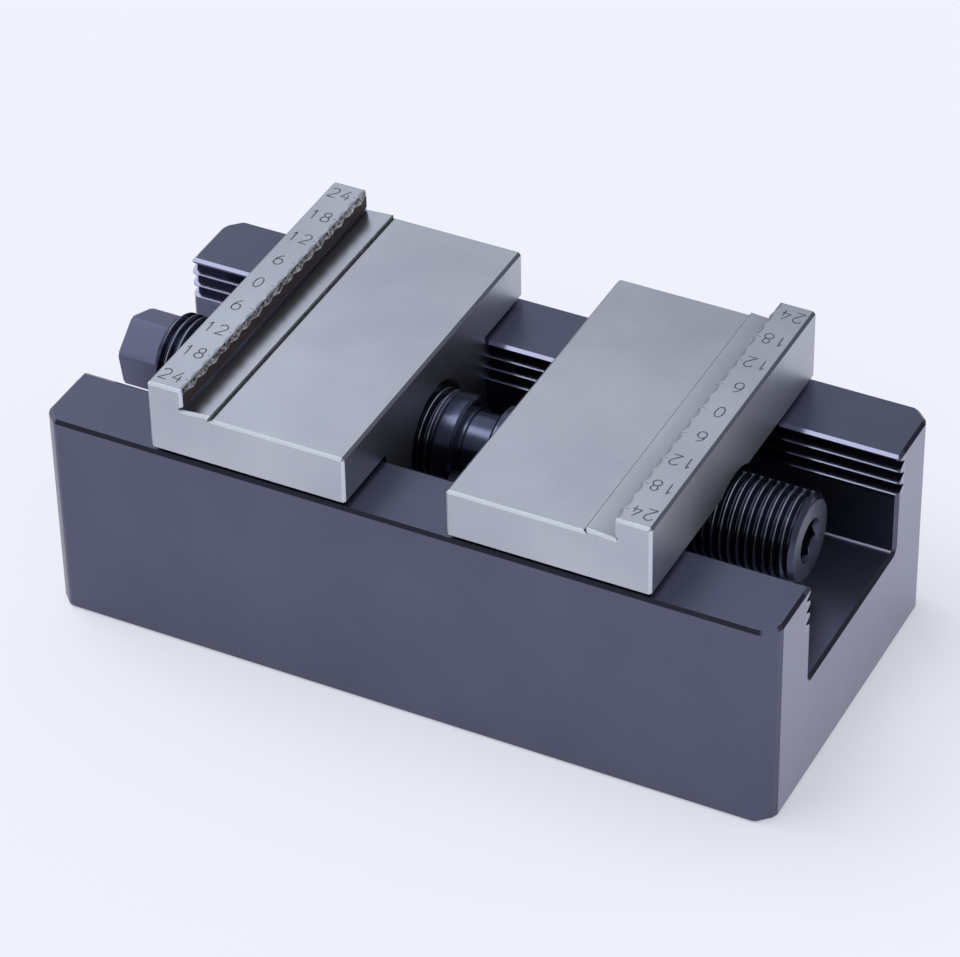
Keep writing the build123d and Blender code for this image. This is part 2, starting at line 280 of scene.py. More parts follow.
@dataclass(frozen=True)
class MachinedSteel:
    """A cut or ground steel surface: two tones in clouds, fine tool marks and worn edges."""

    name: str
    dark: Colour
    light: Colour
    metallic: float
    roughness: float
    roughness_spread: float
    mark_size: tuple[float, float, float]
    mark_depth: float
    cloud_size: float = 14.0
    grit_size: float = 0.11
    edge_wear: float = 0.0
    tone_shares: tuple[float, float, float] = (0.7, 0.2, 0.1)
    tone_span: Span = (0.3, 0.7)
    mark_share: float = 0.75

    def tone(self, texture: Texture) -> Value:
        """The base colour.

        Args:
            texture: the material's noises.
        Returns:
            A colour between the two tones.
        """
        noises = (texture.clouds, texture.marks, texture.grit)
        mixed = sum(noise * share for noise, share in zip(noises, self.tone_shares))
        return texture.graph.mix(mixed.between(*self.tone_span), self.dark, self.light)

    def gloss(self, texture: Texture) -> Value:
        """The roughness, which wanders with the clouds and the tool marks."""
        return (texture.marks + texture.clouds - 1.0) * self.roughness_spread + self.roughness

    def metal(self, graph: Graph) -> Value | float:
        """How metallic the surface is."""
        return self.metallic

    def material(self) -> bpy.types.Material:
        """Builds the material.

        Returns:
            A material whose clouds and tool marks follow the object's place.
        """
        graph = Graph.material(self.name)
        clouds = graph.noise((self.cloud_size,) * 3, detail=3.0)
        marks = graph.noise(self.mark_size, detail=3.0, roughness=0.6)
        grit = graph.noise((self.grit_size,) * 3, detail=2.0)
        relief = marks * self.mark_share + grit * (1.0 - self.mark_share)
        texture = Texture(graph, clouds, marks, grit)
        return graph.finish(
            Base_Color=self.tone(texture),
            Metallic=self.metal(graph),
            Roughness=self.gloss(texture),
            Normal=graph.bump(relief, self.mark_depth, self.edge_wear),
        )


@dataclass(frozen=True)
class GuidedSteel(MachinedSteel):
    """The block's oxide, with finely cut V guides in the channel's walls."""

    # Painted sheen: this lighter colour on the end faces stands in for the bright floor that they mirror.
    end: Colour = (0.29, 0.29, 0.385)
    # Painted shade: the colour that darkens the top edges' chamfers.
    painted_chamfer_shade: Colour = (0.034, 0.036, 0.052)
    guide_roughness: float = 0.15
    guide_start: float = 14.9
    guide_end: float = 16.9
    guide_foot: float = 26.0
    guide_margin: float = 0.05
    foot_margin: float = 0.1
    level_face: Span = (0.95, 0.98)
    end_face: Span = (0.97, 0.99)
    end_shading: float = 0.15
    chamfer_low: Span = (0.45, 0.55)
    chamfer_high: Span = (0.85, 0.92)
    chamfer_side: Span = (0.60, 0.66)

    def flank(self, graph: Graph) -> Value:
        """1 on the guides' flanks and the rails' inner chamfers, and 0 elsewhere.

        A flank is a face that is not level, between the guides' start and end
        and above their foot.

        Args:
            graph: the material's graph.
        Returns:
            The mask.
        """
        _, across, height = graph.place()
        _, _, level = graph.facing()
        inside = abs(across).between(self.guide_start - self.guide_margin, self.guide_start)
        beyond = abs(across).between(self.guide_end, self.guide_end + self.guide_margin)
        above = height.between(self.guide_foot - self.foot_margin, self.guide_foot)
        return inside * (1.0 - beyond) * above * (1.0 - abs(level).between(*self.level_face))

    def tone(self, texture: Texture) -> Value:
        """The base colour, lightened on the two end faces as painted sheen and darkened on the top edges'
        chamfers as painted shade.

        Args:
            texture: the material's noises.
        Returns:
            The colour.
        """
        graph = texture.graph
        along, across, level = graph.facing()
        plain = super().tone(texture)
        # Painted sheen on the two end faces, a little uneven with the clouds.
        uneven = (1.0 - self.end_shading) + texture.clouds.between(*self.tone_span) * self.end_shading
        with_end_sheen = graph.mix(abs(along).between(*self.end_face) * uneven, plain, self.end)
        # Painted shade on the chamfers that lean away from every axis, apart from the guides' flanks.
        leaning = level.between(*self.chamfer_low) * (1.0 - level.between(*self.chamfer_high))
        leaning = leaning * abs(along).larger(abs(across)).between(*self.chamfer_side)
        return graph.mix(leaning * (1.0 - self.flank(graph)), with_end_sheen, self.painted_chamfer_shade)

    def gloss(self, texture: Texture) -> Value:
        """The roughness: low on the guides' flanks, and elsewhere as on the rest of the block."""
        flank = self.flank(texture.graph)
        return super().gloss(texture) * (1.0 - flank) + flank * self.guide_roughness


@dataclass(frozen=True)
class GroundSteel(MachinedSteel):
    """Bright steel with finely ground tops and fronts, duller milled sides, broken edges lightened partly as
    wear and partly as painted highlight, and painted shade on the end chamfers, the strip and the lips'
    edges.
    """

    side_roughness: float = 0.42
    shaded: float = 0.34
    strip: Span = (28.0, 32.2)
    strip_height: float = 41.5
    lip_edge: float = 32.15
    lip_height: float = 44.3
    strip_margin: float = 0.1
    lip_margin: float = 0.02
    height_margin: float = 0.05
    serration: float = 0.40
    serration_pitch: float = 3.0
    # Broken edges take this colour, partly as wear and partly as a painted highlight.
    edge: Colour = (0.70, 0.73, 0.80)
    edge_roughness: float = 0.50
    # Painted shade: the colour of the chamfers at the tops of the faces towards the ends.
    painted_end_chamfer_shade: Colour = (0.20, 0.21, 0.25)
    square_face: Span = (0.90, 0.96)
    side_face: Span = (0.90, 0.97)
    top_face: Span = (0.90, 0.95)
    side_top: Span = (0.3, 0.5)
    slope: Span = (0.60, 0.65)
    slope_limit: Span = (0.80, 0.85)

    def broken(self, graph: Graph) -> Value:
        """1 on most chamfers and 0 elsewhere.

        A chamfer leans away from all three axes. Those at the tops of the
        faces towards the key socket's end are left out.

        Args:
            graph: the material's graph.
        Returns:
            The mask.
        """
        x, y, z = graph.facing()
        leaning = 1.0 - abs(x).larger(abs(y)).larger(abs(z)).between(*self.square_face)
        return leaning * (1.0 - x.between(*self.side_top) * z.between(*self.side_top))

    def tone(self, texture: Texture) -> Value:
        """The base colour: broken edges lightened as wear and painted highlight, and painted shade on the end
        chamfers, the right jaw's strip and the lips' edges.

        The shade at a lip's inner edge follows arches, the size of a sine
        along the lip, which lie one tooth apart.

        Args:
            texture: the material's noises.
        Returns:
            The colour.
        """
        graph = texture.graph
        along, _, level = graph.facing()
        x, y, z = graph.place()
        # Broken edges lightened, partly as wear and partly as painted highlight.
        toned = graph.mix(self.broken(graph), super().tone(texture), self.edge)
        # Painted shade on the chamfers that lean up and along the block.
        sloping = level.between(*self.slope) * (1.0 - level.between(*self.slope_limit))
        toned = graph.mix(sloping * abs(along).between(*self.slope), toned, self.painted_end_chamfer_shade)
        # Painted shade: darker over the strip, and in arches one tooth apart along the lips' inner edges.
        foot = self.strip[1]
        strip_shade = x.between(*self.strip) * (1.0 - x.between(foot, foot + self.strip_margin))
        strip_shade = strip_shade * (1.0 - z.between(self.strip_height, self.strip_height + 2 * self.strip_margin))
        arch = abs((y * (math.pi / self.serration_pitch)).sine()) * self.serration
        edge, top = self.lip_edge, self.lip_height
        lip_edge_shade = 1.0 - (abs(x) - arch).between(edge - self.lip_margin, edge + self.lip_margin)
        lip_edge_shade = lip_edge_shade * z.between(top, top + self.height_margin)
        shade = strip_shade.larger(lip_edge_shade) * level.between(*self.top_face) * self.shaded
        return graph.mix(shade, toned, (0.0, 0.0, 0.0))

    def gloss(self, texture: Texture) -> Value:
        """The roughness, which is higher on the sides that face along the block and on broken edges.

        Args:
            texture: the material's noises.
        Returns:
            The roughness.
        """
        along, _, _ = texture.graph.facing()
        side, broken = abs(along).between(*self.side_face), self.broken(texture.graph)
        plain = super().gloss(texture) * (1.0 - side) + side * self.side_roughness
        return plain * (1.0 - broken) + broken * self.edge_roughness


@dataclass(frozen=True)
class WornAndHighlightedThread(MachinedSteel):
    """The screw's oiled black steel, lighter on the crests of its thread, partly as wear and partly as
    painted highlight.
    """

    # The crests' colour: partly wear, partly painted highlight.
    crest: Colour = (0.50, 0.51, 0.56)
    crest_radius: float = 6.65
    axis_height: float = 27.25
    crest_wear_highlight_depth: float = 0.06
    crest_wear_highlight_start: float = 5.2
    crest_wear_highlight_amount: float = 0.8
    head: Colour = (0.125, 0.130, 0.215)
    end_face: Colour = (0.13, 0.14, 0.19)
    head_end: float = -49.35
    head_roughness: float = 0.5
    head_metallic: float = 0.6
    head_margin: float = 0.1
    crest_wear_highlight_margin: float = 0.2
    crest_wear_highlight_span: Span = (0.25, 0.6)
    square_end: Span = (0.97, 0.99)

    def on_head(self, graph: Graph) -> Value:
        """1 on the hexagon at the left end, and 0 elsewhere."""
        along, _, _ = graph.place()
        return 1.0 - along.between(self.head_end - self.head_margin, self.head_end)

    def metal(self, graph: Graph) -> Value:
        """How metallic the surface is, which is less on the hexagon."""
        head = self.on_head(graph)
        return head * self.head_metallic + (1.0 - head) * self.metallic

    def gloss(self, texture: Texture) -> Value:
        """The roughness, which is higher on the hexagon."""
        head = self.on_head(texture.graph)
        return super().gloss(texture) * (1.0 - head) + head * self.head_roughness

    def tone(self, texture: Texture) -> Value:
        """The base colour, lighter on the hexagon and the end faces, and on the crests partly as wear and
        partly as painted highlight.

        The radius is the root of the sum of the squares of the two distances
        from the axis.

        Args:
            texture: the material's noises.
        Returns:
            The colour.
        """
        graph = texture.graph
        length, across, height = graph.place()
        radius = (across ** 2.0 + (height - self.axis_height) ** 2.0) ** 0.5
        # Crests lightened in patches, partly as wear and partly as painted highlight.
        worn = radius.between(self.crest_radius - self.crest_wear_highlight_depth, self.crest_radius)
        worn = worn * abs(length).between(self.crest_wear_highlight_start - self.crest_wear_highlight_margin, self.crest_wear_highlight_start)
        patchy = texture.clouds.between(*self.crest_wear_highlight_span) * self.crest_wear_highlight_amount
        plain = super().tone(texture)
        along, _, _ = graph.facing()
        faced = graph.mix(abs(along).between(*self.square_end), plain, self.end_face)
        return graph.mix(self.on_head(graph), graph.mix(worn * patchy, faced, self.crest), self.head)


@dataclass(frozen=True)
class ToothedWall:
    """The lip's wall: rough and warm, and painted dark below the teeth as the shade under their overhang,
    with mottled bright facets on the teeth and a painted highlight along their lower edge.
    """

    lip_top: float
    name: str = "toothed_wall"
    # Painted shade: the wall's colour below the teeth.
    dark: Colour = (0.040, 0.024, 0.025)
    shade: Colour = (0.045, 0.040, 0.042)
    light: Colour = (0.62, 0.62, 0.64)
    tooth_drop: float = 0.8
    tooth_foot: Span = (-0.10, 0.05)
    glint_fade: Span = (0.05, 0.25)
    glint_share: float = 0.35
    mottle_size: float = 0.45
    mottle_span: Span = (0.42, 0.58)
    mottle_relief: float = 0.7
    pit_size: float = 0.09
    relief_depth: float = 0.03
    tooth_metallic: float = 0.8
    roughness: float = 0.65
    tooth_roughness: float = 0.35

    def material(self) -> bpy.types.Material:
        """Builds the material.

        Returns:
            A material that is dark below the teeth as painted shade, and mottled on them.
        """
        graph = Graph.material(self.name)
        _, _, height = graph.place()
        foot = self.lip_top - self.tooth_drop
        on_tooth = height.between(*(foot + edge for edge in self.tooth_foot))
        # Painted highlight along the teeth's lower edge.
        glint = on_tooth * (1.0 - height.between(*(foot + edge for edge in self.glint_fade)))
        mottle = graph.noise((self.mottle_size,) * 3, detail=4.0, roughness=0.65)
        pits = graph.noise((self.pit_size,) * 3, detail=2.0)
        bright = mottle.between(*self.mottle_span) * (1.0 - self.glint_share) + glint * self.glint_share
        relief = mottle * self.mottle_relief + pits * (1.0 - self.mottle_relief)
        return graph.finish(
            # Painted shade below the teeth, and mottled facets with a painted highlight on the teeth.
            Base_Color=graph.mix(on_tooth, self.dark, graph.mix(bright, self.shade, self.light)),
            Metallic=on_tooth * self.tooth_metallic,
            Roughness=self.roughness - on_tooth * (self.roughness - self.tooth_roughness),
            Specular_IOR_Level=0.25,
            Normal=graph.bump(relief, self.relief_depth),
        )


@dataclass(frozen=True)
class EngravedMarkAndRiserShade:
    """The dull grey bottom of an engraved line, also used as painted shade on the jaws' risers."""

    name: str = "engraved_mark_and_riser_shade"
    dark: Colour = (0.052, 0.055, 0.068)
    light: Colour = (0.17, 0.175, 0.20)
    patch_size: float = 0.5
    tone_span: Span = (0.3, 0.7)
    metallic: float = 0.3
    roughness: float = 0.6

    def material(self) -> bpy.types.Material:
        """Builds the material.

        Returns:
            A dark, rough and slightly uneven material.
        """
        graph = Graph.material(self.name)
        uneven = graph.noise((self.patch_size,) * 3, detail=3.0)
        tone = graph.mix(uneven.between(*self.tone_span), self.dark, self.light)
        return graph.finish(Base_Color=tone, Metallic=self.metallic, Roughness=self.roughness)


BLACK_OXIDE = GuidedSteel(
    name=Slot.BLACK_OXIDE.value,
    dark=(0.098, 0.102, 0.154),
    light=(0.116, 0.120, 0.176),
    metallic=0.95,
    roughness=0.32,
    roughness_spread=0.07,
    mark_size=(3.0, 0.4, 0.8),
    mark_depth=0.0006,
    edge_wear=0.06,
)
GROUND_STEEL = GroundSteel(
    name=Slot.GROUND.value,
    dark=(0.405, 0.42, 0.475),
    light=(0.515, 0.53, 0.585),
    metallic=1.0,
    roughness=0.24,
    roughness_spread=0.06,
    mark_size=(0.20, 14.0, 6.0),
    mark_depth=0.0004,
    cloud_size=16.0,
    edge_wear=0.07,
)
OILED_SCREW = WornAndHighlightedThread(
    name=Slot.OILED_SCREW.value,
    dark=(0.048, 0.053, 0.088),
    light=(0.070, 0.077, 0.122),
    metallic=0.92,
    roughness=0.24,
    roughness_spread=0.10,
    mark_size=(0.10, 2.5, 2.5),
    mark_depth=0.0010,
    cloud_size=5.0,
)
FASTENER = MachinedSteel(
    name=Slot.FASTENER.value,
    dark=(0.03, 0.03, 0.034),
    light=(0.045, 0.045, 0.052),
    metallic=0.9,
    roughness=0.38,
    roughness_spread=0.10,
    mark_size=(0.3, 0.3, 0.3),
    mark_depth=0.002,
)


def ring_faces(rows: int, columns: int) -> Array:
    """Faces of a grid whose last column meets its first.

    Face (i, j) joins points (i, j), (i, j+1), (i+1, j+1) and (i+1, j), with
    j+1 taken modulo the number of columns.

    Args:
        rows: rows of points.
        columns: points in a row.
    Returns:
        One row of four point numbers for each face.
    """
    i, j = np.meshgrid(np.arange(rows - 1), np.arange(columns), indexing="ij")
    after = (j + 1) % columns
    corners = [i * columns + j, i * columns + after, (i + 1) * columns + after, (i + 1) * columns + j]
    return np.stack(corners, -1).reshape(-1, 4)


def build_object(name: str, points: Array, faces: list[list[int]]) -> bpy.types.Object:
    """Makes an object at the origin from points in millimetres.

    Args:
        name: the piece's name.
        points: an array whose last axis is X, Y and Z.
        faces: the point numbers of each face, seen anticlockwise from outside.
    Returns:
        The object, linked to the scene.
    """
    mesh = bpy.data.meshes.new(name)
    mesh.from_pydata((points.reshape(-1, 3) * MM).tolist(), [], faces)
    made = bpy.data.objects.new(name, mesh)
    bpy.context.scene.collection.objects.link(made)
    return made


def merge_points(mesh: bpy.types.Mesh) -> None:
    """Joins points that lie on each other, which closes seams and poles.

    Args:
        mesh: the mesh.
    """
    work = bmesh.new()
    work.from_mesh(mesh)
    bmesh.ops.remove_doubles(work, verts=work.verts, dist=MERGE_DISTANCE * MM)
    bmesh.ops.dissolve_degenerate(work, edges=work.edges, dist=MERGE_DISTANCE * MM)
    work.to_mesh(mesh)
    work.free()


def smooth_between(mesh: bpy.types.Mesh, degrees: float) -> None:
    """Shades a mesh smooth, apart from edges that turn by more than the given angle."""
    mesh.shade_smooth()
    mesh.set_sharp_from_angle(angle=math.radians(degrees))


def face_vectors(mesh: bpy.types.Mesh, name: str) -> Array:
    """One vector for each face.

    Args:
        mesh: the mesh.
        name: "center" for the faces' middles or "normal".
    Returns:
        A row of X, Y and Z for each face.
    """
    values = np.empty(len(mesh.polygons) * 3)
    mesh.polygons.foreach_get(name, values)
    return values.reshape(-1, 3)


def move_faces(mesh: bpy.types.Mesh, chosen: Array, start: int, end: int) -> None:
    """Moves faces from one material slot to another.

    Args:
        mesh: the mesh.
        chosen: whether each face is to move, if it is in the first slot.
        start: the first slot.
        end: the slot that they go to.
    """
    slots = np.empty(len(mesh.polygons), dtype=np.int32)
    mesh.polygons.foreach_get("material_index", slots)
    slots[chosen & (slots == start)] = end
    mesh.polygons.foreach_set("material_index", slots)


def dress(piece: bpy.types.Object, *materials: bpy.types.Material) -> None:
    """Puts materials into a piece's slots, in order.

    Args:
        piece: the piece.
        materials: its materials.
    """
    piece.data.materials.clear()
    for material in materials:
        piece.data.materials.append(material)


@dataclass
class LeadScrew:
    """The screw as one surface about its axis, with a thread of each hand."""

    pitch: float = 1.25
    thread_depth: float = 0.76
    crest_share: float = 0.125
    root_share: float = 0.17
    columns: int = 84
    steps_per_turn: int = 12
    hex_across_flats: float = 10.0
    hex_turned_radius: float = 5.74
    hex_length: float = 6.0
    hex_chamfer: float = 0.2
    hex_turn: float = 40.0
    chamfer_reach: float = 1.6
    chamfer_rows: int = 9
    end_chamfer: float = 0.85
    neck_radius: float = 4.8
    neck_length: float = 4.8
    shoulder_radius: float = 5.2
    shoulder_length: float = 0.7
    collar_chamfer: float = 0.4
    collar_length: float = 2.5
    run_out: float = 1.1
    socket_across_flats: float = 5.0
    socket_depth: float = 6.0
    socket_mouth: float = 3.2
    mouth_rows: int = 8
    root_rounding: float = 0.04
    sharp_angle: float = 24.0
    angles: Array = field(init=False)

    def __post_init__(self) -> None:
        """Takes the screw's ends, radius and height from its CAD box."""
        low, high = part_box("lead_screw")
        self.left = low.x / MM
        self.right = high.x / MM
        self.crest = (high.y - low.y) / 2 / MM
        self.height = (high.z + low.z) / 2 / MM
        self.angles = math.radians(self.hex_turn) + np.arange(self.columns) * 2 * math.pi / self.columns

    def ring(self, x: float, radius: float | Array) -> Array:
        """A row of (x, radius) pairs, one for each angle."""
        return np.stack(np.broadcast_arrays(x, radius * np.ones(self.columns)), -1)

    def hexagon(self, across_flats: float) -> Array:
        """The hexagon's radius at each angle.

        Between two corners the radius is half the width across flats over the
        cosine of the angle from the middle of the flat.

        Args:
            across_flats: the hexagon's width.
        Returns:
            One radius for each column.
        """
        within = np.mod(self.angles - math.radians(self.hex_turn), math.pi / 3) - math.pi / 6
        return across_flats / 2 / np.cos(within)

    def drive_end(self) -> Array:
        """The hexagon with its turned, chamfered corners, from the end's centre to the shank.

        The radius is the smaller of the hexagon's and the turning's, which
        grows by as much as the distance from the end along the chamfer.

        Returns:
            Rows of (x, radius).
        """
        flats = self.hexagon(self.hex_across_flats)
        rows = [self.ring(self.left, 0.0)]
        for step in np.linspace(0, self.hex_chamfer * self.chamfer_reach, self.chamfer_rows):
            turned = min(self.hex_turned_radius - self.hex_chamfer + step, self.hex_turned_radius)
            rows.append(self.ring(self.left + step, np.minimum(flats, turned)))
        corner = np.minimum(flats, self.hex_turned_radius)
        rows.append(self.ring(self.left + self.hex_length, corner))
        return np.array(rows)

    def thread_radius(self, phase: Array) -> Array:
        """The thread's radius over one turn.

        A flat crest, a straight flank, a rounded root and the other flank. The
        root is a cosine that leaves each flank at its own depth.

        Args:
            phase: the place within the turn, from 0 to 1, with the crest's middle at 0.
        Returns:
            The radius at each phase.
        """
        away = np.abs(np.mod(phase + 0.5, 1.0) - 0.5)
        flank = (away - self.crest_share / 2) / (0.5 - self.crest_share / 2 - self.root_share / 2)
        fall = np.clip(flank, 0, 1)
        from_root = np.clip((0.5 - away) / (self.root_share / 2), 0, 1)
        rounding = self.root_rounding * np.cos(from_root * math.pi / 2)
        return self.crest - self.thread_depth * (fall + rounding)

    def thread(self, start: float, end: float, hand: Hand) -> Array:
        """Rows that follow the helix between two planes.

        Point (i, j) lies at phase times pitch plus the helix's advance at its
        angle, held between the planes. On the right-hand thread, where the
        advance is forwards, the rows start two turns early. The radius is the
        thread's, faded into the plain collar over the run-out and cut by the
        chamfer at the outer end. A row ends nearly one pitch from where it
        starts, so the faces that close it are steep and show as a jagged line
        along the thread.

        Args:
            start: the plane at the lower x.
            end: the plane at the higher x.
            hand: the thread's hand.
        Returns:
            Rows of (x, radius).
        """
        turns = math.ceil((end - start) / self.pitch) + 2
        phase = np.arange(turns * self.steps_per_turn + 1) / self.steps_per_turn
        advance = hand.value * self.pitch * self.angles / (2 * math.pi)
        first = start - 2 * self.pitch if hand is Hand.RIGHT else start
        raw = first + phase[:, None] * self.pitch + advance[None, :]
        x = np.clip(raw, start, end)
        radius = np.broadcast_to(self.thread_radius(phase)[:, None], x.shape)
        inner, outer = (start, end) if hand is Hand.RIGHT else (end, start)
        fade = np.clip(np.abs(x - inner) / self.run_out, 0, 1)
        radius = self.crest - (self.crest - radius) * fade
        chamfer = self.crest - self.end_chamfer + np.abs(x - outer)
        return np.stack([x, np.minimum(radius, chamfer)], -1)

    def neck(self) -> Array:
        """The collars, the shoulder and the neck between the threads.

        Returns:
            Rows of (x, radius).
        """
        half = self.neck_length / 2
        cut = self.collar_chamfer
        profile = [
            (-half - cut, self.crest),
            (-half, self.crest - cut),
            (-half, self.shoulder_radius),
            (-half + self.shoulder_length, self.shoulder_radius),
            (-half + self.shoulder_length, self.neck_radius),
            (half, self.neck_radius),
            (half, self.crest - cut),
            (half + cut, self.crest),
        ]
        return np.array([self.ring(x, radius) for x, radius in profile])

    def key_socket(self) -> Array:
        """The socket from its mouth to the middle of its floor.

        Its radius is the larger of the hexagon's and that of the mouth's cone,
        which closes by as much as it goes in.

        Returns:
            Rows of (x, radius).
        """
        flats = self.hexagon(self.socket_across_flats)
        rows = []
        for step in np.linspace(0, self.socket_mouth - self.socket_across_flats / 2, self.mouth_rows):
            rows.append(self.ring(self.right - step, np.maximum(flats, self.socket_mouth - step)))
        rows.append(self.ring(self.right - self.socket_depth, flats))
        rows.append(self.ring(self.right - self.socket_depth, 0.0))
        return np.array(rows)

    def surface(self) -> Array:
        """The whole surface, turned from (x, radius) rows into points.

        A point's y and z are its radius times the cosine and the sine of its
        column's angle, above the screw's height.

        Returns:
            An array of rows by columns by XYZ.
        """
        inner = self.neck_length / 2 + self.collar_length
        shank = self.left + self.hex_length
        rows = [
            self.drive_end(),
            self.thread(shank, -inner, Hand.LEFT),
            self.neck(),
            self.thread(inner, self.right, Hand.RIGHT),
            self.key_socket(),
        ]
        profile = np.concatenate(rows)
        x, radius = profile[..., 0], profile[..., 1]
        return np.stack([x, radius * np.cos(self.angles), self.height + radius * np.sin(self.angles)], -1)

    def build(self) -> bpy.types.Object:
        """Makes the screw and lets it stand for its CAD node.

        Returns:
            The piece.
        """
        points = self.surface()
        rows, columns = points.shape[:2]
        piece = build_object("lead_screw_threaded", points, ring_faces(rows, columns).tolist())
        merge_points(piece.data)
        smooth_between(piece.data, self.sharp_angle)
        dress(piece, OILED_SCREW.material())
        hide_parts("lead_screw")
        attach(piece, "screw")
        return piece


@dataclass
class Lettering:
    """Plain single-stroke digits, each as smooth strokes in a unit cell centred on the origin."""

    width: float = 1.45
    height: float = 2.3
    gap: float = 0.5
    points_per_turn: int = 28
    least_points: int = 6

    def arc(self, centre: tuple[float, float], radii: tuple[float, float], start: float, end: float) -> Array:
        """Part of an ellipse: the centre plus each radius times the cosine or sine of the angle.

        Args:
            centre: its centre in the cell.
            radii: its half width and half height.
            start: the first angle in degrees from +X.
            end: the last angle.
        Returns:
            Points along it.
        """
        count = max(self.least_points, round(self.points_per_turn * abs(end - start) / 360))
        angle = np.radians(np.linspace(start, end, count))
        return np.stack([centre[0] + radii[0] * np.cos(angle), centre[1] + radii[1] * np.sin(angle)], -1)

    def line(self, start: tuple[float, float], end: tuple[float, float]) -> Array:
        """Four points along a straight stroke."""
        return np.linspace(start, end, 4)

    def digit(self, figure: str) -> list[Array]:
        """The strokes of one digit.

        Args:
            figure: the digit.
        Returns:
            Its strokes, in cell units from -0.5 to 0.5.
        """
        if figure == "0":
            return [self.arc((0, 0), (0.40, 0.5), 90, 450)]
        if figure == "1":
            return [self.line((0.05, 0.5), (0.05, -0.5)), self.line((0.05, 0.5), (-0.22, 0.24))]
        if figure == "2":
            crown = self.arc((0, 0.21), (0.42, 0.29), 165, -35)
            fall = self.line(tuple(crown[-1]), (-0.45, -0.5))
            return [np.concatenate([crown, fall[1:]]), self.line((-0.45, -0.5), (0.45, -0.5))]
        if figure == "4":
            return [
                self.line((0.16, 0.5), (-0.47, -0.20)),
                self.line((-0.47, -0.20), (0.47, -0.20)),
                self.line((0.20, 0.12), (0.20, -0.5)),
            ]
        if figure == "6":
            bowl = self.arc((0, -0.19), (0.42, 0.31), 180, 540)
            return [bowl, self.arc((0.30, -0.19), (0.72, 0.69), 180, 96)]
        upper = self.arc((0, 0.26), (0.33, 0.24), -90, 270)
        return [upper, self.arc((0, -0.24), (0.42, 0.26), 90, 450)]

    def number(self, text: str) -> list[Array]:
        """The strokes of a number centred on the origin.

        Args:
            text: its digits.
        Returns:
            Strokes in millimetres.
        """
        advance = self.width + self.gap
        strokes = []
        for place, figure in enumerate(text):
            shift = (place - (len(text) - 1) / 2) * advance
            for stroke in self.digit(figure):
                strokes.append(stroke * (self.width, self.height) + (shift, 0.0))
        return strokes


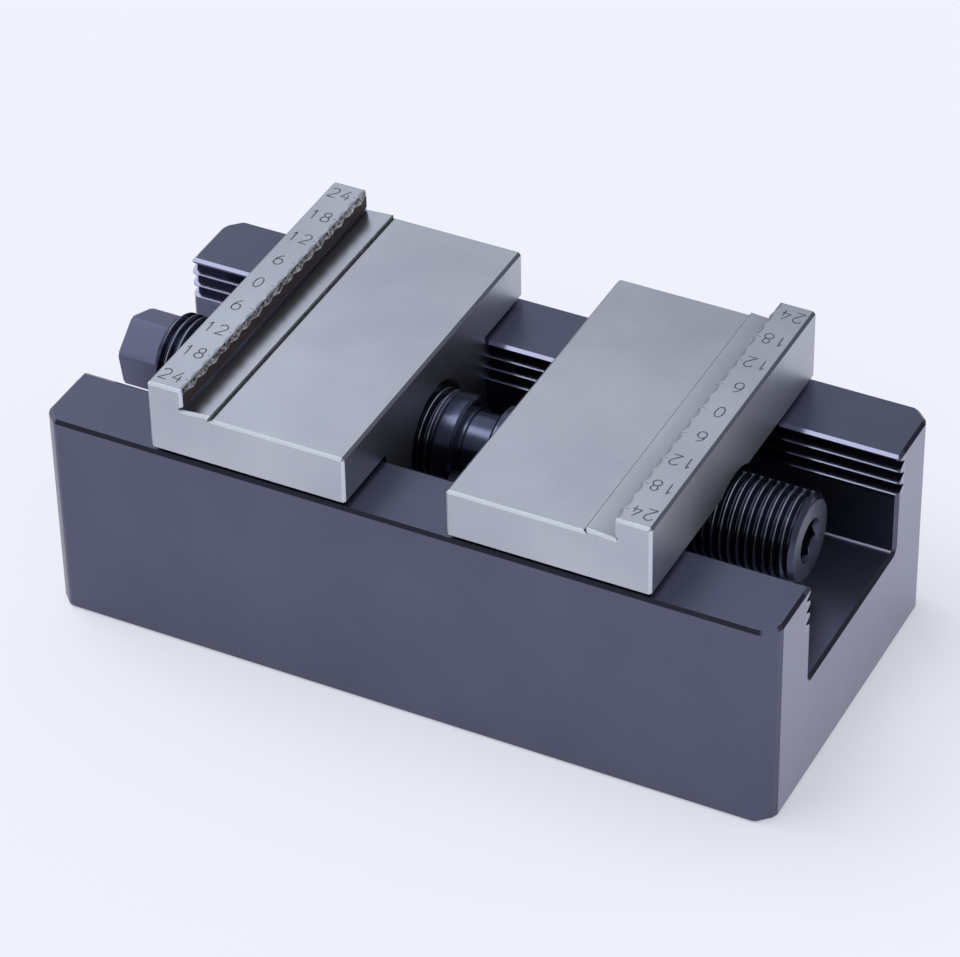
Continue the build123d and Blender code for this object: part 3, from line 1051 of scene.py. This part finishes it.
@dataclass
class Jaw:
    """One jaw: its own mesh with the scale engraved in the top of its lip."""

    node: str
    body: str
    turned: bool
    lip_width: float = 5.2
    number_inset: float = 2.45
    number_pitch: float = 6.0
    numbers: tuple[str, ...] = ("24", "18", "12", "6", "0", "6", "12", "18", "24")
    stroke_width: float = 0.25
    stroke_depth: float = 0.07
    stroke_floor: float = 0.5
    stroke_rise: float = 0.05
    tick_start: float = 4.45
    tick_end: float = 5.05
    tick_width: float = 0.12
    strip_foot: float = 3.3
    strip_top: float = 3.0
    strip_end: float = 9.6
    plate_top: float = 3.5
    riser_reach: float = 0.35
    half_width: float = 26.7
    end_lean: float = 0.6
    bore_reach: float = 8.3
    wall_reach: float = 1.0
    wall_margin: float = 0.1
    height_margin: float = 0.02
    groove_depth: float = 0.2
    facing_up: float = 0.9
    tip_share: float = 0.75
    bore_lean: float = 0.1
    sharp_angle: float = 20.0

    def __post_init__(self) -> None:
        """Takes the lip's height and outer end from the jaw's CAD box."""
        low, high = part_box(self.node)
        self.top = high.z / MM
        self.outer = high.x / MM if self.turned else low.x / MM
        self.inward = -1 if self.turned else 1

    def stroke_section(self, path: Array, width: float) -> Array:
        """A closed trench along a path on the lip's top.

        Each path point gives four corners: the path plus or minus half the
        width along its normal above the lip, and the same narrowed by the floor
        share at the bottom. The width narrows at both tips.

        Args:
            path: points along the stroke, in the lip's own directions.
            width: the trench's width.
        Returns:
            An array of points by four corners by XYZ.
        """
        along = np.gradient(path, axis=0)
        along /= np.linalg.norm(along, axis=1, keepdims=True)
        normal = np.stack([-along[:, 1], along[:, 0]], -1)
        half = np.full(len(path), width / 2)
        half[[0, -1]] *= self.tip_share
        side = normal * half[:, None]
        bottom = side * self.stroke_floor
        plan = np.stack([path + side, path - side, path - bottom, path + bottom], 1)
        high, deep = self.top + self.stroke_rise, self.top - self.stroke_depth
        levels = np.broadcast_to(np.array([high, high, deep, deep]), plan.shape[:2])
        x = self.outer + self.inward * plan[..., 0]
        return np.stack([x, self.inward * plan[..., 1], levels], -1)

    def strokes(self) -> list[Array]:
        """Every stroke of the scale, with a short tick before each number's tooth.

        Returns:
            Trenches as arrays of points by four corners by XYZ.
        """
        lettering = Lettering()
        trenches = []
        for place, text in enumerate(self.numbers):
            across = (place - len(self.numbers) // 2) * self.number_pitch
            for path in lettering.number(text):
                trenches.append(self.stroke_section(path + (self.number_inset, across), self.stroke_width))
            tick = np.linspace((self.tick_start, across), (self.tick_end, across), 3)
            trenches.append(self.stroke_section(tick, self.tick_width))
        return trenches

    def cutter(self) -> bpy.types.Object:
        """All trenches as one object of closed bodies.

        Returns:
            The cutter.
        """
        points, faces, first = [], [], 0
        for trench in self.strokes():
            count = len(trench)
            sides = ring_faces(count, 4)[:, ::-1] + first
            last = first + 4 * (count - 1)
            faces += sides.tolist()
            faces += [[first, first + 1, first + 2, first + 3], [last + 3, last + 2, last + 1, last]]
            points.append(trench.reshape(-1, 3))
            first += 4 * count
        made = build_object(f"{self.node}_cutter", np.concatenate(points), faces)
        work = bmesh.new()
        work.from_mesh(made.data)
        bmesh.ops.recalc_face_normals(work, faces=work.faces)
        work.to_mesh(made.data)
        work.free()
        return made

    def blank(self) -> bpy.types.Object:
        """The jaw before it is engraved.

        Returns:
            A merged copy of its CAD mesh.
        """
        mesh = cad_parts[self.node].data.copy()
        mesh.name = f"{self.node}_engraved"
        merge_points(mesh)
        made = bpy.data.objects.new(mesh.name, mesh)
        bpy.context.scene.collection.objects.link(made)
        return made

    def engrave(self, blank: bpy.types.Object, cutter: bpy.types.Object) -> None:
        """Cuts the trenches out of the blank and drops the cutter.

        Args:
            blank: the jaw before it is engraved.
            cutter: the trenches.
        """
        cut = blank.modifiers.new("engraving", "BOOLEAN")
        cut.operation = "DIFFERENCE"
        cut.solver = "EXACT"
        cut.use_self = True
        cut.material_mode = "TRANSFER"
        cut.object = cutter
        shape = bpy.data.meshes.new_from_object(blank.evaluated_get(bpy.context.evaluated_depsgraph_get()))
        blank.modifiers.clear()
        blank.data = shape
        bpy.data.objects.remove(cutter)

    def from_edges(self, mesh: bpy.types.Mesh) -> tuple[Array, Array, Array]:
        """Where the middle of each face lies on the jaw, in millimetres.

        Args:
            mesh: the jaw's mesh.
        Returns:
            The distances inward from the jaw's outer end, along the lip from
            its middle, and below the lip's top.
        """
        middle = face_vectors(mesh, "center") / MM
        return (middle[:, 0] - self.outer) * self.inward, middle[:, 1], self.top - middle[:, 2]

    def wall_faces(self, mesh: bpy.types.Mesh) -> Array:
        """Finds the toothed wall.

        A face belongs to the wall if its middle lies between the strip's foot
        and just below the lip's top, within reach of the lip's edge, and if it
        doesn't lean as far along the lip as the chamfers at its ends.

        Args:
            mesh: the jaw's mesh.
        Returns:
            Whether each face belongs to it.
        """
        across, _, below = self.from_edges(mesh)
        near = (across > self.lip_width - self.wall_margin) & (across < self.lip_width + self.wall_reach)
        within = (below > self.height_margin) & (below < self.strip_foot - self.height_margin)
        return near & within & (np.abs(face_vectors(mesh, "normal")[:, 1]) < self.end_lean)

    def riser_faces(self, mesh: bpy.types.Mesh) -> Array:
        """Finds the riser beside the strip and the groove at its foot.

        A face belongs to them if its middle lies within reach of the strip's
        edge and between the strip's top and the groove's bottom, and if it
        doesn't face up on the strip or the plate.

        Args:
            mesh: the jaw's mesh.
        Returns:
            Whether each face belongs to them.
        """
        across, along, below = self.from_edges(mesh)
        near = (np.abs(across - self.strip_end) < self.riser_reach) & (np.abs(along) < self.half_width)
        near &= below < self.plate_top + self.groove_depth
        steep = face_vectors(mesh, "normal")[:, 2] < self.facing_up
        on_riser = (below > self.strip_top + self.height_margin) & steep
        return near & (on_riser | (below > self.plate_top + self.height_margin))

    def shade(self, mesh: bpy.types.Mesh) -> None:
        """Shades the bore smooth and every flat face flat.

        A face belongs to the bore if it runs along the screw and its middle is
        within the bore's reach of the axis.

        Args:
            mesh: the jaw's mesh.
        """
        low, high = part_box("lead_screw")
        middle, normal = face_vectors(mesh, "center"), face_vectors(mesh, "normal")
        reach = np.hypot(middle[:, 1], middle[:, 2] - (low.z + high.z) / 2)
        radial = (reach < self.bore_reach * MM) & (np.abs(normal[:, 0]) < self.bore_lean)
        smooth_between(mesh, self.sharp_angle)
        mesh.polygons.foreach_set("use_smooth", radial)

    def build(
        self, steel: bpy.types.Material, engraving_and_riser_shade: bpy.types.Material, wall: bpy.types.Material
    ) -> bpy.types.Object:
        """Makes the jaw and lets it stand for its CAD node.

        Args:
            steel: the ground surfaces' material.
            engraving_and_riser_shade: the engraved lines' material, which also paints shade on the riser
                beside the strip and the groove at its foot.
            wall: the toothed wall's material.
        Returns:
            The piece.
        """
        piece, cutter = self.blank(), self.cutter()
        dress(piece, steel)
        dress(cutter, engraving_and_riser_shade)
        self.engrave(piece, cutter)
        piece.data.materials.append(wall)
        ground_slot, engraving_and_shade_slot, wall_slot = range(3)
        # The toothed wall takes a material that is painted dark below the teeth as shade.
        move_faces(piece.data, self.wall_faces(piece.data), ground_slot, wall_slot)
        # Painted shade: the riser and the groove at its foot take the engraving's dark material.
        move_faces(piece.data, self.riser_faces(piece.data), ground_slot, engraving_and_shade_slot)
        self.shade(piece.data)
        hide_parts(self.node)
        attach(piece, self.body)
        return piece


@dataclass
class Block:
    """The channelled block with its yoke and fasteners, which keep their own meshes."""

    finishes: Mapping[str, MachinedSteel] = field(
        default_factory=lambda: {
            "vise_body": BLACK_OXIDE,
            "centre_yoke": BLACK_OXIDE,
            "yoke_screws": FASTENER,
            "yoke_dowels": FASTENER,
        }
    )

    def build(self) -> list[bpy.types.Object]:
        """Dresses the nodes.

        Returns:
            The dressed objects.
        """
        finishes = {finish.name: finish for finish in self.finishes.values()}
        made = {name: finish.material() for name, finish in finishes.items()}
        dressed = []
        for name, finish in self.finishes.items():
            dress(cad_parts[name], made[finish.name])
            dressed.append(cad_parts[name])
        return dressed


@dataclass
class Viewpoint:
    """The camera, from its place and the direction it looks in."""

    place: tuple[float, float, float] = (220.55, -428.48, 393.76)
    azimuth: float = 27.350
    elevation: float = 37.669
    roll: float = -1.153
    lens: float = 164.86
    sensor: float = 36.0

    def build(self) -> bpy.types.Object:
        """Makes the scene's camera.

        It looks along (-sin a cos e, cos a cos e, -sin e) for azimuth a and
        elevation e, and is then turned about that line by the roll.

        Returns:
            The camera.
        """
        a, e, r = (math.radians(angle) for angle in (self.azimuth, self.elevation, self.roll))
        ahead = Vector((-math.sin(a) * math.cos(e), math.cos(a) * math.cos(e), -math.sin(e)))
        level = Vector((math.cos(a), math.sin(a), 0.0))
        upright = level.cross(ahead)
        right = level * math.cos(r) + upright * math.sin(r)
        up = upright * math.cos(r) - level * math.sin(r)
        turn = Matrix((right, up, -ahead)).transposed()
        data = bpy.data.cameras.new("camera")
        data.lens = self.lens
        data.sensor_width = self.sensor
        data.clip_start, data.clip_end = 0.01, 20.0
        camera = bpy.data.objects.new("camera", data)
        camera.matrix_world = Matrix.Translation(Vector(self.place) * MM) @ turn.to_4x4()
        bpy.context.scene.collection.objects.link(camera)
        bpy.context.scene.camera = camera
        return camera


@dataclass
class SoftLamp:
    """A wide, distant lamp that lights the floor evenly and isn't mirrored."""

    name: str
    direction: tuple[float, float, float]
    width: float
    strength: float
    colour: Colour

    def build(self) -> bpy.types.Object:
        """Makes the lamp, whose width is the angle that it fills, in degrees.

        Returns:
            The lamp.
        """
        data = bpy.data.lights.new(self.name, "SUN")
        data.angle = math.radians(self.width)
        data.energy = self.strength
        data.color = self.colour
        lamp = bpy.data.objects.new(self.name, data)
        lamp.visible_glossy = False
        lamp.rotation_mode = "QUATERNION"
        lamp.rotation_quaternion = Vector(self.direction).to_track_quat("Z", "Y")
        bpy.context.scene.collection.objects.link(lamp)
        return lamp


@dataclass
class Studio:
    """A pale floor, a pale surround with a darker front and right, and one wide lamp."""

    floor_half: float = 4000.0
    floor_colour: Colour = (0.888, 0.910, 0.986)
    floor_glow: float = 0.48
    seen: Colour = (0.855, 0.88, 0.97)
    fill: Colour = (0.50, 0.50, 0.51)
    walls: Colour = (1.03, 1.09, 1.18)
    front: Colour = (0.42, 0.44, 0.48)
    back: Colour = (0.22, 0.24, 0.27)
    softbox: Colour = (4.8, 5.0, 4.9)
    softbox_direction: tuple[float, float, float] = (-0.37, -0.14, 0.92)
    softbox_rim: Span = (0.968, 0.988)
    front_fade: Span = (0.25, 0.50)
    front_top: Span = (0.78, 0.90)
    right_top: Span = (0.45, 0.65)
    back_fade: Span = (0.695, 0.80)
    lamp: SoftLamp = field(
        default_factory=lambda: SoftLamp("overhead_lamp", (-0.48, -0.08, 0.87), 56.0, 1.75, (0.97, 0.98, 1.0))
    )

    def floor(self) -> bpy.types.Object:
        """The floor, at the object's lowest point.

        Returns:
            The floor, partly lit and partly glowing, which keeps shadows soft.
        """
        half = self.floor_half
        corners = np.array([(-half, -half, 0.0), (half, -half, 0.0), (half, half, 0.0), (-half, half, 0.0)])
        made = build_object("floor", corners, [[0, 1, 2, 3]])
        graph = Graph.material("floor")
        shares = (1 - self.floor_glow, self.floor_glow)
        lit, own = ((*(part * share for part in self.floor_colour), 1.0) for share in shares)
        material = graph.finish(
            Base_Color=lit, Emission_Color=own, Emission_Strength=1.0, Roughness=1.0, Specular_IOR_Level=0.0
        )
        dress(made, material)
        return made

    def mirrored(self, graph: Graph) -> Value:
        """What polished faces show of the room, by direction.

        Pale walls that fade towards the back, a dark part towards the camera's
        side below the softbox and low on the right, and the softbox itself,
        which is where the direction's dot product with the softbox's is near 1.

        Args:
            graph: the world's graph.
        Returns:
            A colour.
        """
        x, y, z = graph.axes(graph.coordinates("Generated"))
        front = (-1.0 * y).between(*self.front_fade) * (1.0 - z.between(*self.front_top))
        right = x.between(*self.front_fade) * (1.0 - z.between(*self.right_top))
        room = graph.mix(front.larger(right), self.walls, self.front)
        room = graph.mix(y.between(*self.back_fade), room, self.back)
        along = sum(axis * part for axis, part in zip((x, y, z), Vector(self.softbox_direction).normalized()))
        return graph.mix(along.between(*self.softbox_rim), room, self.softbox)

    def surround(self) -> None:
        """The world: pale where it is seen, a room where it is mirrored and a weak fill as light."""
        world = bpy.data.worlds.new("surround")
        bpy.context.scene.world = world
        graph = Graph(world)
        rays = graph.node("ShaderNodeLightPath").socket.node
        seen, glossy = (Value(graph, rays.outputs[name]) for name in ("Is Camera Ray", "Is Glossy Ray"))
        light = graph.mix(glossy, self.fill, self.mirrored(graph))
        background = graph.node("ShaderNodeBackground", inputs={"Color": graph.mix(seen, light, self.seen)})
        graph.tree.links.new(background.socket, graph.output.inputs["Surface"])

    def build(self) -> None:
        """Makes the floor, the surround and the lamp, and sets the view transform."""
        self.floor()
        self.surround()
        self.lamp.build()
        bpy.context.scene.view_settings.view_transform = "Standard"


def main() -> None:
    """Builds every sub-assembly in order."""
    logging.basicConfig(level=logging.INFO, format="%(message)s")
    Viewpoint().build()
    for node in Block().build():
        LOG.info("%s: dressed", node.name)
    screw = LeadScrew().build()
    LOG.info("%s: %d faces", screw.name, len(screw.data.polygons))
    lip_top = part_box("left_jaw")[1].z / MM
    steel, engraving_and_riser_shade, wall = GROUND_STEEL.material(), EngravedMarkAndRiserShade().material(), ToothedWall(lip_top).material()
    for jaw in (Jaw("left_jaw", "left_slide", False), Jaw("right_jaw", "right_slide", True)):
        piece = jaw.build(steel, engraving_and_riser_shade, wall)
        LOG.info("%s: %d faces", piece.name, len(piece.data.polygons))
    Studio().build()


if __name__ == "__main__":
    main()
